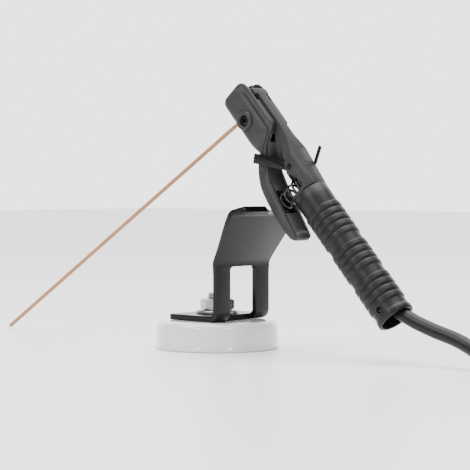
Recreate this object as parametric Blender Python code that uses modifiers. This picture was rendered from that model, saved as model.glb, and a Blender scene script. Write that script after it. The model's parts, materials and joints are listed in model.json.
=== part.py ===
"""Tong-type welding electrode holder, with its electrode, on a magnetic bench stand."""

import math

import bmesh
import bpy
from mathutils import Matrix, Vector

MM = 0.001

# Magnetic stand. Its axis is Z through the origin, and it stands on Z = 0.
FOOT_R = 49.3
FOOT_TOP = 22.4
FOOT_WALL = 3.2
CORE_R = 15.0
STUD_R = 8.0
NUT_AF = 24.0
SHEET = 4.3
BASE_UNDER = FOOT_TOP + 0.3
BASE_BACK = -20.6
LEG_FRONT = 28.0
LEG_HALF = 30.6
WINDOW_HALF = 15.3
WINDOW_TOP = 66.5
BEND_Z = 68.5
LEAN = math.radians(31.0)
PANEL_TOP = 106.0
PANEL_HALF = 38.2
LIP = 12.0

# Holder. Its own X runs from the rear rim to the jaws, Y to the left side, Z to the back.
REAR_RIM = Vector((177.0, 0.0, 32.1))
TILT = math.radians(48.3)
GRIP_LENGTH = 121.5
GRIP_R = 13.4
GRIP_BORE = 9.6
GRIP_MOUTH = 12.0
RIB_R = 14.9
RIB_PITCH = 6.2
RIB_FIRST = 14.0
RIB_STEPS = (0, 1, 2, 3, 5, 6, 7, 8, 10, 11, 12, 13, 14)
CASING_HALF = 12.8
CASING_BACK = 12.6
ARM_END = 219.0
ARM_HALF = 4.4
ARM_BACK = 15.2
JAW_END = 229.0
LEVER_HALF = 10.8
JAW_SCREW = Vector((201.6, 0.0, -5.2))
PIVOT = Vector((172.0, 0.0, -16.2))
YOKE_FRONT = Vector((173.4, 0.0, -17.4))
YOKE_PIN = Vector((144.0, 0.0, 5.6))
YOKE_Y = 10.5
YOKE_WIDTH = 7.6
YOKE_SHEET = 1.8
TAIL = ((143.0, 5.6), (142.4, 9.8), (143.2, 13.0), (149.0, 24.2), (147.1, 25.2), (141.0, 13.4),
        (140.0, 9.6), (140.4, 4.4))
SPRING_AT = 133.0
SPRING_R = 6.0
SPRING_WIRE = 0.9

# Electrode and cable.
ROD_LENGTH = 350.0
ROD_R = 1.6
CORE_WIRE_R = 1.0
ROD_TIP = Vector((-255.0, 0.0, 1.9))
ROD_ENTRY = Vector((22.2, 0.0, 177.4))
CABLE_R = 5.25
COIL_CENTRE = Vector((337.0, 23.0, 0.0))
COIL_R = 58.7
COIL_PITCH = 10.7
COIL_IN = COIL_R - COIL_PITCH - CABLE_R - 0.3
COIL_OUT = COIL_R + COIL_PITCH + CABLE_R + 0.3
COIL_TOP = 21.9
TAIL_TURN = (20.0, -18.7, 0.0)  # centre of the tail's turn, from the coil's
TAIL_TURN_R = 42.0
PLUG_R = 14.0
PLUG_LENGTH = 68.0


def clear_scene():
    for obj in list(bpy.data.objects):
        bpy.data.objects.remove(obj, do_unlink=True)


def new_collection(name):
    collection = bpy.data.collections.new(name)
    bpy.context.scene.collection.children.link(collection)
    return collection


def material(name, colour, roughness, metallic=0.0):
    mat = bpy.data.materials.new(name)
    mat.use_nodes = True
    shader = mat.node_tree.nodes["Principled BSDF"]
    shader.inputs["Base Color"].default_value = (*colour, 1.0)
    shader.inputs["Roughness"].default_value = roughness
    shader.inputs["Metallic"].default_value = metallic
    return mat


def link(obj, mat, parent=None, collection=None):
    for other in list(obj.users_collection):
        other.objects.unlink(obj)
    (collection or parts).objects.link(obj)
    if mat:
        obj.data.materials.clear()
        obj.data.materials.append(mat)
    obj.parent = parent
    return obj


def mesh_object(name, bm, mat, parent=None, smooth=35.0, collection=None):
    mesh = bpy.data.meshes.new(name)
    bmesh.ops.recalc_face_normals(bm, faces=bm.faces)
    bm.to_mesh(mesh)
    bm.free()
    mesh.shade_smooth()
    mesh.set_sharp_from_angle(angle=math.radians(smooth))
    obj = bpy.data.objects.new(name, mesh)
    bpy.context.scene.collection.objects.link(obj)
    return link(obj, mat, parent, collection)


def box(name, low, high, mat=None, parent=None, bevel=0.0, collection=None):
    """A block between two corners, in millimetres, with its long edges rounded."""
    low, high = Vector(low), Vector(high)
    bm = bmesh.new()
    bmesh.ops.create_cube(bm, size=1.0)
    size = (high - low) * MM
    bmesh.ops.scale(bm, vec=size, verts=bm.verts)
    bmesh.ops.translate(bm, vec=(low + high) * 0.5 * MM, verts=bm.verts)
    if bevel:
        bmesh.ops.bevel(bm, geom=list(bm.edges), offset=bevel * MM, segments=2,
                        affect="EDGES", profile=0.5, material=-1)
    return mesh_object(name, bm, mat, parent, collection=collection)


def rod(name, start, end, radius, mat=None, parent=None, sides=24, chamfer=0.0,
        collection=None):
    """A round bar from one point to another, in millimetres."""
    start, end = Vector(start), Vector(end)
    axis = end - start
    bm = bmesh.new()
    bmesh.ops.create_cone(bm, cap_ends=True, segments=sides, radius1=radius * MM,
                          radius2=radius * MM, depth=axis.length * MM)
    if chamfer:
        ends = [edge for edge in bm.edges
                if abs(edge.verts[0].co.z - edge.verts[1].co.z) < 1e-7]
        bmesh.ops.bevel(bm, geom=ends, offset=chamfer * MM, segments=1,
                        affect="EDGES", profile=0.5, material=-1)
    turn = Vector((0.0, 0.0, 1.0)).rotation_difference(axis).to_matrix().to_4x4()
    bm.transform(Matrix.Translation((start + end) * 0.5 * MM) @ turn)
    return mesh_object(name, bm, mat, parent, collection=collection)


def turned(name, profile, mat=None, parent=None, steps=48, closed=False, axis="Z",
           place=(0.0, 0.0, 0.0), collection=None):
    """A turned shape. The profile is (radius, height) pairs, its outer side top to bottom."""
    bm = bmesh.new()
    verts = [bm.verts.new((r * MM, 0.0, z * MM)) for r, z in profile]
    for first, second in zip(verts, verts[1:]):
        bm.edges.new((first, second))
    if closed:
        bm.edges.new((verts[-1], verts[0]))
    mesh = bpy.data.meshes.new(name)
    bm.to_mesh(mesh)
    bm.free()
    obj = bpy.data.objects.new(name, mesh)
    bpy.context.scene.collection.objects.link(obj)
    link(obj, mat, parent, collection)
    screw = obj.modifiers.new("Screw", "SCREW")
    screw.steps = steps
    screw.render_steps = steps
    screw.use_merge_vertices = True
    screw.merge_threshold = 0.00001
    screw.use_smooth_shade = True
    if axis == "X":
        obj.rotation_euler = (0.0, math.radians(90.0), 0.0)
    obj.location = Vector(place) * MM
    return obj


def outline(name, points, half, mat=None, parent=None, plane="XZ", place=(0, 0, 0),
            collection=None):
    """A flat outline in millimetres, as a filled 2D curve, extruded to both sides."""
    curve = bpy.data.curves.new(name, "CURVE")
    curve.dimensions = "2D"
    curve.fill_mode = "BOTH"
    curve.extrude = half * MM
    spline = curve.splines.new("POLY")
    spline.points.add(len(points) - 1)
    for point, (x, y) in zip(spline.points, points):
        point.co = (x * MM, y * MM, 0.0, 1.0)
    spline.use_cyclic_u = True
    obj = bpy.data.objects.new(name, curve)
    bpy.context.scene.collection.objects.link(obj)
    turn = {"XY": Matrix.Identity(4),
            "XZ": Matrix.Rotation(math.radians(90.0), 4, "X"),
            "YZ": Matrix(((0, 0, 1, 0), (1, 0, 0, 0), (0, 1, 0, 0), (0, 0, 0, 1)))}[plane]
    obj.matrix_world = Matrix.Translation(Vector(place) * MM) @ turn
    return to_mesh(obj, mat, parent, collection)


def to_mesh(source, mat, parent, collection=None):
    """Turns a curve object into a welded mesh in the same place, as a child of parent."""
    bpy.context.view_layer.update()
    graph = bpy.context.evaluated_depsgraph_get()
    mesh = bpy.data.meshes.new_from_object(source.evaluated_get(graph))
    bm = bmesh.new()
    bm.from_mesh(mesh)
    bmesh.ops.remove_doubles(bm, verts=bm.verts, dist=1e-6)
    bm.transform(source.matrix_world)
    name = source.name
    curve = source.data
    bpy.data.objects.remove(source, do_unlink=True)
    bpy.data.curves.remove(curve)
    bpy.data.meshes.remove(mesh)
    return mesh_object(name, bm, mat, parent, collection=collection)


def arc(centre, radius, start, end, count):
    """Points on an arc, in degrees."""
    steps = [start + (end - start) * i / count for i in range(count + 1)]
    return [(centre[0] + radius * math.cos(math.radians(a)),
             centre[1] + radius * math.sin(math.radians(a))) for a in steps]


def rounded(corners, radii, steps=4):
    """A closed outline whose corners are rounded by the given radii."""
    points = []
    count = len(corners)
    for i, (corner, radius) in enumerate(zip(corners, radii)):
        here = Vector(corner)
        before = (Vector(corners[i - 1]) - here).normalized()
        after = (Vector(corners[(i + 1) % count]) - here).normalized()
        if radius <= 0.0:
            points.append(tuple(here))
            continue
        half = before.angle(after) / 2.0
        reach = radius / math.tan(half)
        middle = here + (before + after).normalized() * radius / math.sin(half)
        first = here + before * reach - middle
        last = here + after * reach - middle
        sweep = math.atan2(first.x * last.y - first.y * last.x, first.dot(last))
        for k in range(steps + 1):
            angle = sweep * k / steps
            spin = Matrix.Rotation(angle, 2)
            points.append(tuple(middle + spin @ first))
    return points


def boolean(obj, cutter, operation="DIFFERENCE"):
    cutter.hide_render = True
    cutter.display_type = "WIRE"
    mod = obj.modifiers.new(cutter.name, "BOOLEAN")
    mod.operation = operation
    mod.solver = "EXACT"
    mod.object = cutter
    return obj


def smooth_path(points, spacing):
    """Points every so many millimetres along a smooth curve through the route's points."""
    points = [Vector(p) for p in points]
    ends = [points[0] * 2 - points[1]] + points + [points[-1] * 2 - points[-2]]
    dense = []
    for i in range(1, len(ends) - 2):
        a, b, c, d = ends[i - 1:i + 3]
        for k in range(24):
            t = k / 24
            dense.append(0.5 * (2 * b + (c - a) * t + (2 * a - 5 * b + 4 * c - d) * t * t
                                + (3 * b - a - 3 * c + d) * t ** 3))
    dense.append(points[-1])
    path, travelled = [dense[0]], 0.0
    total = sum((q - p).length for p, q in zip(dense, dense[1:]))
    step = total / max(1, round(total / spacing))
    target = step
    for p, q in zip(dense, dense[1:]):
        gap = (q - p).length
        while travelled + gap >= target - 1e-6 and len(path) < round(total / step) + 1:
            path.append(p.lerp(q, min(1.0, (target - travelled) / gap)))
            target += step
        travelled += gap
    return path


def tube(name, points, radius, mat, parent=None, sides=2):
    """A round wire through the given points, in millimetres."""
    curve = bpy.data.curves.new(name, "CURVE")
    curve.dimensions = "3D"
    curve.bevel_depth = radius * MM
    curve.bevel_resolution = sides
    curve.use_fill_caps = True
    spline = curve.splines.new("POLY")
    spline.points.add(len(points) - 1)
    for point, place in zip(spline.points, points):
        point.co = (*(Vector(place) * MM), 1.0)
    obj = bpy.data.objects.new(name, curve)
    bpy.context.scene.collection.objects.link(obj)
    return to_mesh(obj, mat, parent)


def build_foot():
    """The pot magnet: a white coated pot, a ferrite ring, and a steel core with its stud."""
    inner = FOOT_R - FOOT_WALL
    roof = FOOT_TOP - 3.4
    shoulder = arc((FOOT_R - 6.6, FOOT_TOP - 6.0), 6.0, 90.0, 0.0, 6)
    profile = [(STUD_R + 0.4, roof), (STUD_R + 0.4, FOOT_TOP)] + shoulder
    profile += [(FOOT_R - 0.6, 3.6), (FOOT_R, 2.4), (FOOT_R, 0.8), (FOOT_R - 0.8, 0.0),
                (inner, 0.0), (inner, roof)]
    turned("foot_cover", profile, white, steps=64, closed=True)

    ring = [(inner - 0.4, 15.4), (inner - 0.4, 0.6), (CORE_R + 0.5, 0.6), (CORE_R + 0.5, 15.4)]
    turned("ferrite_ring", ring, ferrite, steps=40, closed=True)

    core = [(0.0, 9.0), (STUD_R + 0.3, 9.0), (STUD_R + 0.3, roof - 0.3), (CORE_R, roof - 0.3),
            (CORE_R, 0.8), (CORE_R - 0.8, 0.0), (0.0, 0.0)]
    turned("pole_core", core, steel, steps=32)

    top = BASE_UNDER + SHEET
    turned("stud", thread_profile(STUD_R, 9.3, top + 16.4, 1.6), zinc, steps=20)
    washer = [(8.6, top + 2.8), (17.0, top + 2.8), (17.0, top + 0.3), (8.6, top + 0.3)]
    turned("washer", washer, zinc, steps=32, closed=True)

    nut = rod("nut", (0, 0, top + 3.1), (0, 0, top + 11.9), NUT_AF / math.sqrt(3.0), zinc,
              sides=6, chamfer=0.8)
    hole = rod("nut_hole", (0, 0, top), (0, 0, top + 20), STUD_R + 0.3, sides=20,
               collection=cutters)
    boolean(nut, hole)


def thread_profile(radius, low, high, pitch):
    """A stud's outline, with its thread as plain grooves."""
    points = [(0.0, high), (radius - 1.0, high), (radius, high - 1.0)]
    z = high - 1.0 - pitch
    while z > high - 8.0:
        points += [(radius, z + pitch * 0.5), (radius - 0.7, z + pitch * 0.25), (radius, z)]
        z -= pitch
    return points + [(radius, low), (0.0, low)]


def build_bracket(pivot):
    """One bent steel sheet: base, two legs with a window, a leaning panel and its cradle."""
    rise = PANEL_TOP - BEND_Z
    top_x = LEG_FRONT + math.tan(LEAN) * rise
    side = rounded([
        (BASE_BACK, BASE_UNDER), (LEG_FRONT, BASE_UNDER), (LEG_FRONT, BEND_Z),
        (top_x, PANEL_TOP), (top_x + LIP, PANEL_TOP + 3.0),
        (top_x + LIP - 0.8, PANEL_TOP + 3.0 + SHEET), (top_x - 3.4, PANEL_TOP + SHEET - 0.2),
        (LEG_FRONT - SHEET, BEND_Z + 1.3), (LEG_FRONT - SHEET, BASE_UNDER + SHEET),
        (BASE_BACK, BASE_UNDER + SHEET)],
        [0, 8, 7, 3, 0.8, 0.8, 7.5, 3, 4, 0], steps=5)
    bracket = outline("bracket", side, 45.0, black_gloss, pivot, "XZ")

    front = rounded([
        (-LEG_HALF, 0.0), (LEG_HALF, 0.0), (LEG_HALF, BEND_Z - 1.0), (PANEL_HALF, PANEL_TOP - 6),
        (PANEL_HALF, PANEL_TOP + 20), (-PANEL_HALF, PANEL_TOP + 20),
        (-PANEL_HALF, PANEL_TOP - 6), (-LEG_HALF, BEND_Z - 1.0)],
        [0, 0, 10, 6, 0, 0, 6, 10], steps=3)
    boolean(bracket, outline("bracket_front", front, 120.0, plane="YZ", collection=cutters),
            "INTERSECT")
    window = rounded([(-WINDOW_HALF, 0.0), (WINDOW_HALF, 0.0), (WINDOW_HALF, WINDOW_TOP),
                      (-WINDOW_HALF, WINDOW_TOP)], [0, 0, 4, 4], steps=3)
    boolean(bracket, outline("bracket_window", window, 9.0, plane="YZ",
                             place=(22.0 + 9.0, 0, 0), collection=cutters))
    notch = rod("bracket_notch", (top_x - 20, 0, PANEL_TOP + 16.5),
                (top_x + LIP + 20, 0, PANEL_TOP + 16.5), 15.5, sides=40, collection=cutters)
    boolean(bracket, notch)
    boolean(bracket, rod("bracket_hole", (0, 0, 15), (0, 0, 40), STUD_R + 0.4, sides=24,
                         collection=cutters))
    for sign, word in ((1, "left"), (-1, "right")):
        corner = [(BASE_BACK - 1, sign * (LEG_HALF + 1)), (BASE_BACK + 9, sign * (LEG_HALF + 1))]
        corner += [(BASE_BACK + 9 + x, sign * (LEG_HALF - 9 + y))
                   for x, y in arc((0, 0), 9.0, 90.0, 180.0, 5)]
        corner += [(BASE_BACK - 1, sign * (LEG_HALF - 9))]
        boolean(bracket, outline("bracket_corner_" + word, corner, 30.0, plane="XY",
                                 place=(0, 0, 20), collection=cutters))


def build_grip(frame):
    """The ribbed sleeve, its screw and the cable clamp that sits inside it."""
    outer = [(13.2, 0.0), (14.4, 0.9), (14.4, 4.4), (GRIP_R, 5.6)]
    for k in RIB_STEPS:
        middle = RIB_FIRST + RIB_PITCH * k
        outer += [(GRIP_R, middle - 2.6), (RIB_R, middle - 1.5), (RIB_R, middle + 1.5),
                  (GRIP_R, middle + 2.6)]
    outer += [(GRIP_R, GRIP_LENGTH)]
    inner = [(GRIP_BORE, GRIP_LENGTH), (GRIP_BORE, 26.0), (GRIP_MOUTH, 11.0), (GRIP_MOUTH, 0.0)]
    profile = (outer + inner)[::-1]
    grip = turned("grip_sleeve", profile, dark_grip, frame, steps=32, closed=True, axis="X")
    hole = rod("grip_screw_hole", (9.0, -20, 0), (9.0, -8, 0), 2.4, sides=16,
               collection=cutters)
    hole.parent = frame
    boolean(grip, hole)
    rod("grip_screw", (9.0, -13.1, 0), (9.0, -9.9, 0), 2.1, zinc, frame, sides=16, chamfer=0.3)

    clamp = turned("cable_clamp", [(5.5, 96.0), (9.2, 96.0), (9.2, 74.0), (5.5, 74.0)][::-1],
                   brass, frame, steps=24, closed=True, axis="X")
    for i, along in enumerate((79.5, 90.5)):
        cut = rod(f"clamp_screw_hole_{i}", (along, 0, 3), (along, 0, 12), 2.1, sides=12,
                  collection=cutters)
        cut.parent = frame
        boolean(clamp, cut)
        rod(f"clamp_screw_{i + 1}", (along, 0, 5.8), (along, 0, 9.0), 1.8, zinc, frame,
            sides=12)


def build_body(frame):
    """The insulating casing with its narrow arm, and the brass conductor inside it."""
    side = rounded([
        (GRIP_LENGTH + 0.4, -11.4), (126.0, -11.0), (128.0, -5.0), (148.0, 3.0),
        (166.0, 8.6), (ARM_END, 8.6), (ARM_END, ARM_BACK), (168.0, ARM_BACK),
        (148.0, CASING_BACK), (GRIP_LENGTH + 0.4, CASING_BACK)],
        [0, 1.5, 4, 8, 6, 1.5, 3, 12, 12, 0], steps=3)
    casing = outline("body_casing", side, CASING_HALF, mid_grey, frame, "XZ")
    half = CASING_HALF
    plan = rounded([
        (118.0, -half), (148.0, -half), (160.0, -8.6), (170.0, -ARM_HALF),
        (ARM_END - 7.0, -ARM_HALF), (ARM_END - 7.0, -8.0), (ARM_END + 0.5, -8.0),
        (ARM_END + 0.5, 8.0), (ARM_END - 7.0, 8.0), (ARM_END - 7.0, ARM_HALF),
        (170.0, ARM_HALF), (160.0, 8.6), (148.0, half), (118.0, half)],
        [0, 6, 6, 6, 0.8, 0.8, 3, 3, 0.8, 0.8, 6, 6, 6, 0], steps=3)
    holder_cut(casing, outline("casing_plan", plan, 40.0, plane="XY", collection=cutters),
               frame, "INTERSECT")
    holder_cut(casing, box("casing_channel", (100.0, -3.4, 7.0), (ARM_END - 8.0, 3.4, 12.2),
                           collection=cutters), frame)
    holder_cut(casing, box("casing_mouth", (100.0, -5.6, -5.0), (137.0, 5.6, 7.4),
                           collection=cutters), frame)
    holder_cut(casing, rod("casing_pocket", (SPRING_AT, 0, -20), (SPRING_AT, 0, 3.4), 8.4,
                           sides=24, collection=cutters), frame)
    for sign, word in ((1, "left"), (-1, "right")):
        slot = outline("leg_slot_" + word, yoke_leg(0.35, 3.0), 1.25, plane="XZ",
                       place=(0, sign * YOKE_Y, 0), collection=cutters)
        holder_cut(casing, slot, frame)
    tail = box("tail_slot", (139.2, -YOKE_Y - 1.3, 6.0), (144.0, -YOKE_Y + 1.3, 20.0),
               collection=cutters)
    holder_cut(casing, tail, frame)
    holder_cut(casing, rod("yoke_pin_hole", (YOKE_PIN.x, -20, YOKE_PIN.z),
                           (YOKE_PIN.x, 20, YOKE_PIN.z), 2.3, sides=16, collection=cutters),
               frame)

    conductor = outline("conductor", rounded([
        (96.4, -4.0), (122.0, -4.0), (134.0, 7.8), (ARM_END - 8.5, 7.8),
        (ARM_END - 8.5, 11.8), (130.0, 11.8), (117.0, 4.0), (96.4, 4.0)],
        [0, 10, 6, 0, 0, 8, 8, 0], steps=3), 3.0, brass, frame, "XZ")
    holder_cut(conductor, rod("conductor_pin_hole", (YOKE_PIN.x, -9, YOKE_PIN.z),
                              (YOKE_PIN.x, 9, YOKE_PIN.z), 2.4, sides=16,
                              collection=cutters), frame)

    contact = box("body_contact", (193.0, -4.2, -2.4), (ARM_END - 6.5, 4.2, 7.4), brass, frame,
                  bevel=0.4)
    holder_cut(contact, rod("rod_socket", along_rod(ROD_LENGTH - 30.0),
                            along_rod(ROD_LENGTH + 0.8), CORE_WIRE_R + 0.35, sides=16,
                            collection=cutters), None)
    for i, along in enumerate((196.5, 202.5)):
        holder_cut(contact, rod(f"contact_screw_hole_{i}", (along, 0, -5), (along, 0, 12), 1.9,
                                sides=12, collection=cutters), frame)
        holder_cut(conductor, rod(f"conductor_screw_hole_{i}", (along, 0, 5), (along, 0, 10.6),
                                  1.9, sides=12, collection=cutters), frame)
        rod(f"contact_screw_{i + 1}", (along, 0, -2.2), (along, 0, 10.2), 1.6, zinc, frame,
            sides=12)
    rod("yoke_pin", (YOKE_PIN.x, -half + 0.2, YOKE_PIN.z), (YOKE_PIN.x, half - 0.2, YOKE_PIN.z),
        2.0, zinc, frame, sides=16, chamfer=0.3)


def holder_cut(obj, cutter, frame, operation="DIFFERENCE"):
    """Cuts a holder piece. The cutter moves with the holder's frame."""
    cutter.parent = frame
    return boolean(obj, cutter, operation)


def along_rod(distance):
    """A point on the electrode's axis, a distance from its tip, in world millimetres."""
    way = (ROD_ENTRY - ROD_TIP).normalized()
    return ROD_TIP + way * distance


def yoke_leg(grow, reach):
    """A side leg of the yoke, as a strip from the lever's shoulder to its pin."""
    start = Vector((YOKE_FRONT.x, YOKE_FRONT.z))
    end = Vector((YOKE_PIN.x, YOKE_PIN.z))
    way = (end - start).normalized()
    side = Vector((-way.y, way.x)) * (YOKE_WIDTH / 2.0 + grow)
    start = start - way * grow
    end = end + way * (3.6 + reach * 0.4)
    return rounded([tuple(start + side), tuple(start - side), tuple(end - side),
                    tuple(end + side)], [0.4, 0.4, 3.0, 3.0], steps=4)


def build_yoke(frame):
    """The steel stirrup that the lever rocks in, with the tail of one leg behind."""
    near = outline("yoke", yoke_leg(0.0, 0.0), YOKE_SHEET / 2.0, black_steel, frame, "XZ",
                   place=(0, YOKE_Y, 0))
    far = outline("yoke_far_leg", yoke_leg(0.0, 0.0), YOKE_SHEET / 2.0, None, frame, "XZ",
                  place=(0, -YOKE_Y, 0), collection=cutters)
    boolean(near, far, "UNION")
    way = Vector((YOKE_PIN.x - YOKE_FRONT.x, YOKE_PIN.z - YOKE_FRONT.z)).normalized()
    side = Vector((-way.y, way.x)) * YOKE_WIDTH / 2.0
    start = Vector((YOKE_FRONT.x, YOKE_FRONT.z))
    side *= 0.97
    strip = [start + side - way * 0.1, start - side - way * 0.1,
             start - side + way * YOKE_SHEET, start + side + way * YOKE_SHEET]
    wrap = outline("yoke_wrap", [tuple(p) for p in strip], YOKE_Y + YOKE_SHEET / 2.0 - 0.1,
                   None, frame, "XZ", collection=cutters)
    boolean(near, wrap, "UNION")
    tail = outline("yoke_tail", TAIL, YOKE_SHEET / 2.0 - 0.05, None, frame, "XZ",
                   place=(0, -YOKE_Y, 0), collection=cutters)
    boolean(near, tail, "UNION")
    holder_cut(near, rod("yoke_holes", (YOKE_PIN.x, -20, YOKE_PIN.z),
                         (YOKE_PIN.x, 20, YOKE_PIN.z), 2.3, sides=16, collection=cutters),
               frame)


def build_lever(frame):
    """The squeeze lever: jaw, neck and paddle in one moulding, its contact and its screw."""
    pivot = bpy.data.objects.new("lever_pivot", None)
    parts.objects.link(pivot)
    pivot.parent = frame
    pivot.location = PIVOT * MM

    def here(points):
        return [(x - PIVOT.x, z - PIVOT.z) for x, z in points]

    shape = rounded(here([
        (JAW_END, -15.0), (JAW_END, 13.6), (181.0, 13.6), (176.0, 0.0), (166.0, -10.5),
        (150.0, -17.8), (112.0, -25.0), (101.5, -26.5), (100.5, -32.0), (107.0, -33.6),
        (134.0, -32.6), (158.0, -28.6), (167.2, -20.8), (171.8, -15.9), (173.4, -12.0),
        (180.0, -15.0)]),
        [5, 3, 4, 6, 10, 20, 6, 3, 2.5, 8, 40, 10, 1.5, 2, 1, 1.5], steps=3)
    lever = outline("lever", shape, LEVER_HALF, mid_grey, pivot, "XZ")
    plan = rounded([(95.0 - PIVOT.x, -9.0), (140.0 - PIVOT.x, -LEVER_HALF),
                    (158.0 - PIVOT.x, -9.2), (178.5 - PIVOT.x, -9.2),
                    (184.0 - PIVOT.x, -LEVER_HALF), (JAW_END + 5 - PIVOT.x, -LEVER_HALF),
                    (JAW_END + 5 - PIVOT.x, LEVER_HALF), (184.0 - PIVOT.x, LEVER_HALF),
                    (178.5 - PIVOT.x, 9.2), (158.0 - PIVOT.x, 9.2),
                    (140.0 - PIVOT.x, LEVER_HALF), (95.0 - PIVOT.x, 9.0)],
                   [6, 0, 2, 2, 3, 0, 0, 3, 2, 2, 0, 6], steps=3)
    holder_cut(lever, outline("lever_plan", plan, 60.0, plane="XY", collection=cutters), pivot,
               "INTERSECT")
    trough = rounded(here([(ARM_END + 20, 20.0), (177.6, 20.0), (177.6, -9.8),
                           (ARM_END + 20, -9.8)]), [0, 0, 3, 0], steps=3)
    holder_cut(lever, outline("jaw_trough", trough, 5.2, plane="XZ", collection=cutters), pivot)
    cap_room = box("cap_room", (ARM_END - 12.2 - PIVOT.x, -8.7, 7.6 - PIVOT.z),
                   (JAW_END + 3 - PIVOT.x, 8.7, 40 - PIVOT.z), collection=cutters)
    holder_cut(lever, cap_room, pivot)
    hollow = rounded(here([(166.0, 0.0), (166.0, -20.0), (158.0, -25.0), (134.0, -29.2),
                           (107.0, -30.2), (106.0, -10.0)]), [0, 3, 8, 30, 2, 0], steps=3)
    holder_cut(lever, outline("paddle_hollow", hollow, 7.4, plane="XZ", collection=cutters),
               pivot)
    slot = box("rod_slot", (206.8 - PIVOT.x, -2.1, -30), (JAW_END + 5 - PIVOT.x, 2.1, 10),
               collection=cutters)
    holder_cut(lever, slot, pivot)
    screw = Vector((JAW_SCREW.x - PIVOT.x, 0.0, JAW_SCREW.z - PIVOT.z))
    for sign, word in ((1, "left"), (-1, "right")):
        boss = rod("boss_" + word, screw + Vector((0, sign * 9.0, 0)),
                   screw + Vector((0, sign * 12.6, 0)), 7.4, sides=24, collection=cutters)
        holder_cut(lever, boss, pivot, "UNION")
        recess = rod("recess_" + word, screw + Vector((0, sign * 8.4, 0)),
                     screw + Vector((0, sign * 15.0, 0)), 4.4, sides=20, collection=cutters)
        holder_cut(lever, recess, pivot)
    holder_cut(lever, rod("jaw_screw_hole", screw + Vector((0, -9, 0)),
                          screw + Vector((0, 9, 0)), 2.2, sides=14, collection=cutters), pivot)

    contact = box("lever_contact", (192.0 - PIVOT.x, -4.7, -9.4 - PIVOT.z),
                  (205.6 - PIVOT.x, 4.7, -2.9 - PIVOT.z), brass, pivot, bevel=0.4)
    holder_cut(contact, rod("lever_contact_hole", screw + Vector((0, -9, 0)),
                            screw + Vector((0, 9, 0)), 2.2, sides=14, collection=cutters), pivot)
    jaw_screw = turned("jaw_screw", [(0.0, 11.3), (3.2, 11.3), (3.5, 11.0), (3.5, 8.8),
                                     (1.9, 8.8), (1.9, -10.6), (0.0, -10.6)],
                       zinc, pivot, steps=16)
    jaw_screw.rotation_euler = (math.radians(-90.0), 0.0, 0.0)
    jaw_screw.location = screw * MM
    jaw_nut = rod("jaw_nut", screw + Vector((0, -8.8, 0)), screw + Vector((0, -11.4, 0)), 3.9,
                  zinc, pivot, sides=6)
    holder_cut(jaw_nut, rod("jaw_nut_hole", screw + Vector((0, -5, 0)),
                            screw + Vector((0, -15, 0)), 2.2, sides=14, collection=cutters),
               pivot)


def build_spring(frame):
    """The compression spring between the casing's pocket and the paddle, as a real coil."""
    turns, top, low = 6.5, 2.0, -27.6
    count = int(turns * 12)
    points = []
    for i in range(count + 1):
        angle = 2.0 * math.pi * turns * i / count
        share = i / count
        points.append((SPRING_AT + SPRING_R * math.cos(angle), SPRING_R * math.sin(angle),
                       top + (low - top) * share))
    coil = tube("lever_spring", points, SPRING_WIRE, steel, frame, sides=1)
    return coil


def build_electrode(frame):
    """The stick electrode: a bare core wire in its coating, clamped at the far end."""
    turn = frame.matrix_world.inverted()
    core = rod("electrode_core", along_rod(0.0), along_rod(ROD_LENGTH), CORE_WIRE_R, copper,
               sides=12)
    coat = rod("electrode_coating", along_rod(0.6), along_rod(ROD_LENGTH - 15.0), ROD_R,
               copper, sides=16)
    bore = rod("coating_bore", along_rod(-5.0), along_rod(ROD_LENGTH), CORE_WIRE_R + 0.2,
               sides=12, collection=cutters)
    boolean(coat, bore)
    for obj in (core, coat):
        obj.parent = frame
        obj.matrix_parent_inverse = turn


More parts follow.
